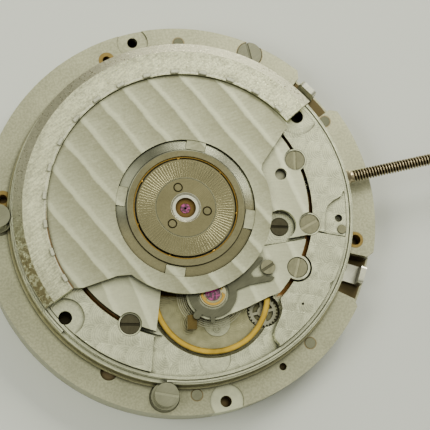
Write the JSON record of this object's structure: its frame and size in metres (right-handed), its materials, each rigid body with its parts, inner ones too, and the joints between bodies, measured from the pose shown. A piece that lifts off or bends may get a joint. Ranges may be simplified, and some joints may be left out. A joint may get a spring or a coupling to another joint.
{
  "type": "watch movement",
  "caption": "Round self-winding chronograph watch movement lying dial side down, with half-disc rotor, open balance and a long threaded winding stem.",
  "frame": {"origin": "on the movement's axis in the plane of the dial seat", "axes": "+Z from the dial seat towards the rotor, +X outwards along the winding stem (3 o'clock), -Y is 12 o'clock"},
  "size_m": [0.043, 0.03, 0.0064],
  "materials": {
    "plate": "satin nickel plate with fine grain",
    "grained_plate": "circular graining",
    "rotor_plate": "striped satin",
    "rotor_weight": "frosted heavy alloy",
    "bearing_steel": "turned, warm grey",
    "polished_steel": "polished",
    "steel": "fine brushed",
    "gilt_brass": "gilt",
    "stem_bronze": "machined, warm",
    "ruby": "polished"
  },
  "bodies": {
    "movement": {"module_plate": "plate", "module_cover": "plate", "module_bushings": "gilt_brass", "module_pins_screws": "polished_steel", "casing_screws": "polished_steel", "flat_springs": "polished_steel", "main_plate": "plate", "barrel_bridge": "plate", "train_bridge": "plate", "side_bridge_left": "grained_plate", "side_bridge_right": "grained_plate", "automatic_bridge": "plate", "balance_cock": "grained_plate", "pallet_bridge": "plate", "bridge_screws": "polished_steel", "jewels": "ruby", "hairspring": "steel", "stud_block": "stem_bronze", "shock_setting": "polished_steel", "shock_spring": "gilt_brass", "bearing_core": "bearing_steel"},
    "rotor": {"rotor_plate": "rotor_plate", "rotor_weight": "rotor_weight", "bearing_ring": "bearing_steel"},
    "ball_cage": {"bearing_balls": "polished_steel"},
    "reversing_wheel_a": {"reversing_wheel_a": "gilt_brass"},
    "reversing_wheel_b": {"reversing_wheel_b": "gilt_brass"},
    "reversing_pinion_a": {"reversing_pinion_a": "steel"},
    "reversing_pinion_b": {"reversing_pinion_b": "steel"},
    "reduction_wheel": {"reduction_wheel": "gilt_brass"},
    "ratchet": {"ratchet_wheel": "steel", "barrel_arbor": "polished_steel"},
    "crown_wheel": {"crown_wheel": "steel"},
    "click": {"click": "steel"},
    "barrel": {"barrel_drum": "gilt_brass", "barrel_cover": "gilt_brass", "mainspring": "steel"},
    "second_wheel": {"second_wheel": "gilt_brass"},
    "third_wheel": {"third_wheel": "gilt_brass"},
    "fourth_wheel": {"fourth_wheel": "gilt_brass"},
    "escape_wheel": {"escape_wheel": "steel"},
    "pallet_fork": {"pallet_fork": "steel"},
    "balance": {"balance_wheel": "gilt_brass", "balance_staff": "polished_steel"},
    "regulator": {"regulator": "steel"},
    "winding_pinion": {"winding_pinion": "steel"},
    "stem": {"winding_stem": "stem_bronze"},
    "sliding_pinion": {"sliding_pinion": "steel"},
    "setting_lever": {"setting_lever": "steel"},
    "yoke": {"yoke": "steel"},
    "cannon_pinion": {"cannon_pinion": "steel"},
    "minute_wheel": {"minute_wheel": "gilt_brass"},
    "hour_wheel": {"hour_wheel": "gilt_brass"},
    "drive_wheel": {"drive_wheel": "steel"},
    "small_seconds": {"small_seconds_wheel": "gilt_brass"},
    "chrono_seconds": {"chrono_seconds_wheel": "gilt_brass"},
    "minute_counter": {"minute_counter_wheel": "gilt_brass"},
    "start_lever": {"start_lever": "steel"},
    "reset_lever": {"reset_lever": "steel"},
    "reset_hammer": {"reset_hammer": "steel"}
  },
  "joints": [
    {"name": "rotor_spin", "type": "hinge", "parent": "movement", "child": "rotor", "pos_m": [0, 0, 0.0059], "axis": [0, 0, 1], "continuous": true},
    {"name": "balls_roll", "type": "hinge", "parent": "movement", "child": "ball_cage", "pos_m": [0, 0, 0.0059], "axis": [0, 0, 1], "continuous": true},
    {"name": "reversing_spin_a", "type": "hinge", "parent": "movement", "child": "reversing_wheel_a", "pos_m": [0.00184, 0.005, 0.0056], "axis": [0, 0, 1], "continuous": true},
    {"name": "reversing_spin_b", "type": "hinge", "parent": "movement", "child": "reversing_wheel_b", "pos_m": [-0.00179, 0.00502, 0.0056], "axis": [0, 0, 1], "continuous": true},
    {"name": "stem_turn", "type": "hinge", "parent": "movement", "child": "winding_pinion", "pos_m": [0.0099, 0, 0.004], "axis": [1, 0, 0], "continuous": true},
    {"name": "stem_pull", "type": "slide", "parent": "winding_pinion", "child": "stem", "axis": [1, 0, 0], "range_m": [0, 0.0009]},
    {"name": "clutch_shift", "type": "slide", "parent": "winding_pinion", "child": "sliding_pinion", "axis": [1, 0, 0], "range_m": [-0.0006, 0]},
    {"name": "setting_lever_turn", "type": "hinge", "parent": "movement", "child": "setting_lever", "pos_m": [0.01132, -0.00306, 0.004], "axis": [0, 0, 1], "range_deg": [-19.2, 0]},
    {"name": "yoke_turn", "type": "hinge", "parent": "movement", "child": "yoke", "pos_m": [0.00835, -0.00235, 0.004], "axis": [0, 0, 1], "range_deg": [0, 19.8]},
    {"name": "crown_wheel_turn", "type": "hinge", "parent": "movement", "child": "crown_wheel", "pos_m": [0.0075, 0, 0.00476], "axis": [0, 0, 1], "continuous": true},
    {"name": "ratchet_turn", "type": "hinge", "parent": "movement", "child": "ratchet", "pos_m": [0.0046, 0.0054, 0.00476], "axis": [0, 0, 1], "continuous": true},
    {"name": "reduction_turn", "type": "hinge", "parent": "movement", "child": "reduction_wheel", "pos_m": [0.00003, 0.00662, 0.0048], "axis": [0, 0, 1], "continuous": true},
    {"name": "reversing_pinion_turn_a", "type": "hinge", "parent": "movement", "child": "reversing_pinion_a", "pos_m": [0.00184, 0.005, 0.0049], "axis": [0, 0, 1], "continuous": true},
    {"name": "reversing_pinion_turn_b", "type": "hinge", "parent": "movement", "child": "reversing_pinion_b", "pos_m": [-0.00179, 0.00502, 0.0049], "axis": [0, 0, 1], "continuous": true},
    {"name": "click_lift", "type": "hinge", "parent": "movement", "child": "click", "pos_m": [0.0019, 0.0102, 0.00477], "axis": [0, 0, 1], "range_deg": [0, 8], "stiffness_Nm_per_rad": 0.000005, "springref_deg": -5.73},
    {"name": "train_run", "type": "hinge", "parent": "movement", "child": "fourth_wheel", "pos_m": [0, 0, 0.0038], "axis": [0, 0, 1], "continuous": true},
    {"name": "barrel_turn", "type": "hinge", "parent": "movement", "child": "barrel", "pos_m": [0.0046, 0.0054, 0.0038], "axis": [0, 0, 1], "continuous": true},
    {"name": "second_turn", "type": "hinge", "parent": "movement", "child": "second_wheel", "pos_m": [-0.00076, 0.00455, 0.0038], "axis": [0, 0, 1], "continuous": true},
    {"name": "third_turn", "type": "hinge", "parent": "movement", "child": "third_wheel", "pos_m": [-0.00211, 0.00153, 0.0038], "axis": [0, 0, 1], "continuous": true},
    {"name": "escape_turn", "type": "hinge", "parent": "movement", "child": "escape_wheel", "pos_m": [0.00228, -0.00159, 0.0038], "axis": [0, 0, 1], "continuous": true},
    {"name": "drive_turn", "type": "hinge", "parent": "movement", "child": "drive_wheel", "pos_m": [0.0041, -0.00855, 0.0026], "axis": [0, 0, 1], "continuous": true},
    {"name": "small_seconds_turn", "type": "hinge", "parent": "movement", "child": "small_seconds", "pos_m": [-0.006, 0, 0.0018], "axis": [0, 0, 1], "continuous": true},
    {"name": "cannon_turn", "type": "hinge", "parent": "movement", "child": "cannon_pinion", "pos_m": [0, 0, 0.0006], "axis": [0, 0, 1], "continuous": true},
    {"name": "minute_wheel_turn", "type": "hinge", "parent": "movement", "child": "minute_wheel", "pos_m": [0.0016, -0.00277, 0.001], "axis": [0, 0, 1], "continuous": true},
    {"name": "hour_turn", "type": "hinge", "parent": "movement", "child": "hour_wheel", "pos_m": [0, 0, 0.0005], "axis": [0, 0, 1], "continuous": true},
    {"name": "pallet_rock", "type": "hinge", "parent": "movement", "child": "pallet_fork", "pos_m": [0.00142, -0.004, 0.0038], "axis": [0, 0, 1], "range_deg": [-5, 5]},
    {"name": "balance_swing", "type": "hinge", "parent": "movement", "child": "balance", "pos_m": [0.00051, -0.00656, 0.0043], "axis": [0, 0, 1], "range_deg": [-270, 270], "stiffness_Nm_per_rad": 0.0000004},
    {"name": "regulator_adjust", "type": "hinge", "parent": "movement", "child": "regulator", "pos_m": [0.00051, -0.00656, 0.00535], "axis": [0, 0, 1], "range_deg": [-1.5, 1.5]},
    {"name": "chrono_run", "type": "hinge", "parent": "movement", "child": "chrono_seconds", "pos_m": [0, 0, 0.0018], "axis": [0, 0, 1], "continuous": true},
    {"name": "minute_counter_turn", "type": "hinge", "parent": "movement", "child": "minute_counter", "pos_m": [0.006, 0, 0.0018], "axis": [0, 0, 1], "continuous": true},
    {"name": "start_press", "type": "hinge", "parent": "movement", "child": "start_lever", "pos_m": [0.0065, -0.01001, 0.0014], "axis": [0, 0, 1], "range_deg": [0, 5.3], "stiffness_Nm_per_rad": 0.002, "springref_deg": -4.58},
    {"name": "reset_press", "type": "hinge", "parent": "movement", "child": "reset_lever", "pos_m": [0.00607, 0.01027, 0.0014], "axis": [0, 0, 1], "range_deg": [-5.3, 0], "stiffness_Nm_per_rad": 0.002, "springref_deg": 4.58},
    {"name": "hammer_turn", "type": "hinge", "parent": "movement", "child": "reset_hammer", "pos_m": [-0.0022, -0.0072, 0.0014], "axis": [0, 0, 1], "range_deg": [0, 3.3]}
  ],
  "couplings": [
    {"joint": "balls_roll", "follows": "rotor_spin", "ratio": 0.5},
    {"joint": "reversing_spin_a", "follows": "rotor_spin", "ratio": -4.0769},
    {"joint": "reversing_spin_b", "follows": "rotor_spin", "ratio": -4.0769},
    {"joint": "clutch_shift", "follows": "stem_pull", "ratio": -0.66667},
    {"joint": "setting_lever_turn", "follows": "stem_pull", "rad_per_m": -372.34},
    {"joint": "yoke_turn", "follows": "stem_pull", "rad_per_m": 383.97},
    {"joint": "crown_wheel_turn", "follows": "stem_turn", "ratio": -0.46667},
    {"joint": "ratchet_turn", "follows": "stem_turn", "ratio": 0.19444},
    {"joint": "reduction_turn", "follows": "stem_turn", "ratio": -1.75},
    {"joint": "reversing_pinion_turn_a", "follows": "stem_turn", "ratio": 8.75},
    {"joint": "reversing_pinion_turn_b", "follows": "stem_turn", "ratio": 8.75},
    {"joint": "barrel_turn", "follows": "train_run", "ratio": -0.0020833},
    {"joint": "second_turn", "follows": "train_run", "ratio": 0.016667},
    {"joint": "third_turn", "follows": "train_run", "ratio": -0.125},
    {"joint": "escape_turn", "follows": "train_run", "ratio": -8.75},
    {"joint": "drive_turn", "follows": "train_run", "ratio": -1},
    {"joint": "small_seconds_turn", "follows": "train_run", "ratio": 1},
    {"joint": "cannon_turn", "follows": "train_run", "ratio": 0.016667},
    {"joint": "minute_wheel_turn", "follows": "train_run", "ratio": -0.0055556},
    {"joint": "hour_turn", "follows": "train_run", "ratio": 0.0013889},
    {"joint": "minute_counter_turn", "follows": "chrono_run", "ratio": 0.033333},
    {"joint": "hammer_turn", "follows": "reset_press", "ratio": -0.6}
  ]
}
